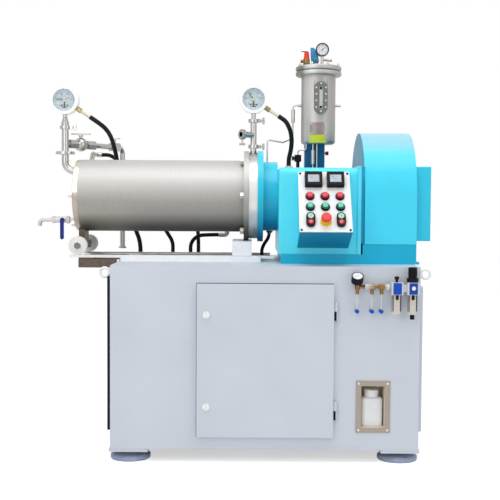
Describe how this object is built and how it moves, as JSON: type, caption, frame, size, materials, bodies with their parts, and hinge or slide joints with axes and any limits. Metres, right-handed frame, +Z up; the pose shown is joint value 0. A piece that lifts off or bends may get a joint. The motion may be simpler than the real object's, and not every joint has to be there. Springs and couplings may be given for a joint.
{
  "type": "horizontal bead mill",
  "caption": "Horizontal bead mill on a sheet-metal cabinet, with a jacketed grinding chamber on slide rails, a belt drive, a seal fluid pot and a tilted control desk.",
  "frame": {"origin": "centre of the bounding box's base, on the floor", "axes": "+X from the product outlet towards the belt guard, +Y from the operator's side to the back, +Z up"},
  "size_m": [1.5275, 0.869, 1.591],
  "materials": {
    "cabinet_paint": "satin",
    "turquoise_paint": "gloss",
    "foot_paint": "satin",
    "dark_paint": "satin",
    "bright_steel": "polished",
    "stainless": "satin",
    "machined_steel": "machined",
    "cast_iron": "painted",
    "belt_rubber": "matt",
    "hose_rubber": "matt",
    "nylon": "matt",
    "bottle_plastic": "matt",
    "panel_white": "satin",
    "indicator_plastic": "gloss",
    "red_plastic": "gloss",
    "green_plastic": "gloss",
    "black_plastic": "gloss",
    "pointer_metal": "satin",
    "blue_metal": "satin",
    "brass": "satin",
    "air_unit_metal": "painted"
  },
  "bodies": {
    "machine": {"cabinet_frame": "cabinet_paint", "cabinet_shell": "cabinet_paint", "service_panels": "cabinet_paint", "levelling_feet": "foot_paint", "lifting_eyes": "bright_steel", "door_hinges": "bright_steel", "bottle_recess": "stainless", "motor_housing": "cast_iron", "belt_guard": "turquoise_paint", "machine_bed": "turquoise_paint", "bearing_housing": "turquoise_paint", "seal_neck": "turquoise_paint", "bearing_outer_rings": "machined_steel", "feed_ring": "stainless", "feed_port": "stainless", "machine_hoses": "hose_rubber", "seal_pipework": "stainless", "seal_pot": "stainless", "pot_fittings": "brass", "control_desk": "turquoise_paint", "panel_plate": "panel_white", "panel_indicators": "indicator_plastic", "air_preparation": "air_unit_metal", "air_manifold": "brass", "rail_brackets": "dark_paint", "drive_belts": "belt_rubber"},
    "door": {"front_door": "cabinet_paint"},
    "upper_lock": {"door_lock_upper": "bright_steel"},
    "lower_lock": {"door_lock_lower": "bright_steel"},
    "bottle": {"bottle": "bottle_plastic"},
    "cap": {"bottle_cap": "bottle_plastic"},
    "chamber": {"inner_barrel": "stainless", "cooling_jacket": "stainless", "end_cover": "stainless", "chamber_bolts": "bright_steel", "separator_screen": "stainless", "outlet_pipe": "stainless", "outlet_gauge_hose": "hose_rubber", "drain_valve": "stainless", "roller_bracket": "dark_paint"},
    "rollers": {"rail_rollers": "nylon"},
    "rails": {"slide_rails": "machined_steel"},
    "shaft": {"main_shaft": "machined_steel", "agitator_discs": "machined_steel", "shaft_pulley": "cast_iron", "bearing_inner_rings": "machined_steel"},
    "rotor": {"motor_rotor": "cast_iron"},
    "outlet_handle": {"outlet_valve_handle": "stainless"},
    "outlet_pointer": {"outlet_gauge_pointer": "pointer_metal"},
    "feed_pointer": {"feed_gauge_pointer": "pointer_metal"},
    "drain_lever": {"drain_lever": "blue_metal"},
    "pot_lever": {"pot_valve_lever": "blue_metal"},
    "emergency_stop": {"estop_button": "red_plastic"},
    "left_start": {"left_start_button": "green_plastic"},
    "left_stop": {"left_stop_button": "red_plastic"},
    "right_start": {"right_start_button": "green_plastic"},
    "right_stop": {"right_stop_button": "red_plastic"},
    "regulator": {"regulator_knob": "black_plastic"},
    "flush_knob": {"flush_knob": "black_plastic"},
    "red_knob": {"red_knob": "red_plastic"}
  },
  "joints": [
    {"name": "chamber_slide", "type": "slide", "parent": "machine", "child": "chamber", "axis": [-1, 0, 0], "range_m": [0, 0.5]},
    {"name": "rollers_roll", "type": "hinge", "parent": "chamber", "child": "rollers", "pos_m": [-0.5815, 0.023, 0.7718], "axis": [0, -1, 0], "range_deg": [0, 810]},
    {"name": "rails_slide", "type": "slide", "parent": "machine", "child": "rails", "axis": [-1, 0, 0], "range_m": [0, 0.45]},
    {"name": "door_swing", "type": "hinge", "parent": "machine", "child": "door", "pos_m": [0.394, -0.386, 0.3728], "axis": [0, 0, 1], "range_deg": [0, 115]},
    {"name": "upper_lock_turn", "type": "hinge", "parent": "door", "child": "upper_lock", "pos_m": [-0.0715, -0.386, 0.5385], "axis": [0, -1, 0], "range_deg": [0, 90]},
    {"name": "lower_lock_turn", "type": "hinge", "parent": "door", "child": "lower_lock", "pos_m": [-0.0715, -0.386, 0.207], "axis": [0, -1, 0], "range_deg": [0, 90]},
    {"name": "agitator_spin", "type": "hinge", "parent": "machine", "child": "shaft", "pos_m": [0.3, 0.023, 0.967], "axis": [1, 0, 0], "continuous": true},
    {"name": "motor_spin", "type": "hinge", "parent": "machine", "child": "rotor", "pos_m": [0.3, 0.023, 0.296], "axis": [1, 0, 0], "continuous": true},
    {"name": "bottle_slide", "type": "slide", "parent": "machine", "child": "bottle", "axis": [0, -1, 0], "range_m": [0, 0.15]},
    {"name": "cap_turn", "type": "hinge", "parent": "bottle", "child": "cap", "pos_m": [0.5305, -0.329, 0.245], "axis": [0, 0, 1], "range_deg": [0, 540]},
    {"name": "outlet_handle_turn", "type": "hinge", "parent": "chamber", "child": "outlet_handle", "pos_m": [-0.60492, 0.09044, 1.208], "axis": [0, 0, 1], "range_deg": [0, 90]},
    {"name": "outlet_pointer_turn", "type": "hinge", "parent": "chamber", "child": "outlet_pointer", "pos_m": [-0.655, 0.009, 1.342], "axis": [0, 1, 0], "range_deg": [-53, 217]},
    {"name": "feed_pointer_turn", "type": "hinge", "parent": "machine", "child": "feed_pointer", "pos_m": [0.0945, 0.009, 1.35], "axis": [0, 1, 0], "range_deg": [-97, 173]},
    {"name": "drain_lever_turn", "type": "hinge", "parent": "chamber", "child": "drain_lever", "pos_m": [-0.664, 0, 0.869], "axis": [0, 1, 0], "range_deg": [0, 90]},
    {"name": "pot_lever_turn", "type": "hinge", "parent": "machine", "child": "pot_lever", "pos_m": [0.346, 0.148, 1.521], "axis": [0, -1, 0], "range_deg": [0, 90]},
    {"name": "emergency_stop_press", "type": "slide", "parent": "machine", "child": "emergency_stop", "axis": [0, 0.8251, -0.565], "range_m": [0, 0.004], "stiffness_N_per_m": 900, "springref_m": -0.001},
    {"name": "regulator_turn", "type": "hinge", "parent": "machine", "child": "regulator", "pos_m": [0.663, -0.405, 0.69], "axis": [0, 0, 1], "range_deg": [0, 300]},
    {"name": "flush_knob_turn", "type": "hinge", "parent": "machine", "child": "flush_knob", "pos_m": [0.255, 0.083, 1.122], "axis": [1, 0, 0], "range_deg": [0, 270]},
    {"name": "red_knob_turn", "type": "hinge", "parent": "machine", "child": "red_knob", "pos_m": [0.395, 0.123, 1.145], "axis": [1, 0, 0], "range_deg": [0, 270]},
    {"name": "left_start_press", "type": "slide", "parent": "machine", "child": "left_start", "axis": [0, 0.8251, -0.565], "range_m": [0, 0.003], "stiffness_N_per_m": 800, "springref_m": -0.001},
    {"name": "left_stop_press", "type": "slide", "parent": "machine", "child": "left_stop", "axis": [0, 0.8251, -0.565], "range_m": [0, 0.003], "stiffness_N_per_m": 800, "springref_m": -0.001},
    {"name": "right_start_press", "type": "slide", "parent": "machine", "child": "right_start", "axis": [0, 0.8251, -0.565], "range_m": [0, 0.003], "stiffness_N_per_m": 800, "springref_m": -0.001},
    {"name": "right_stop_press", "type": "slide", "parent": "machine", "child": "right_stop", "axis": [0, 0.8251, -0.565], "range_m": [0, 0.003], "stiffness_N_per_m": 800, "springref_m": -0.001}
  ],
  "couplings": [
    {"joint": "rollers_roll", "follows": "chamber_slide", "rad_per_m": 28.169},
    {"joint": "motor_spin", "follows": "agitator_spin", "ratio": 2}
  ]
}
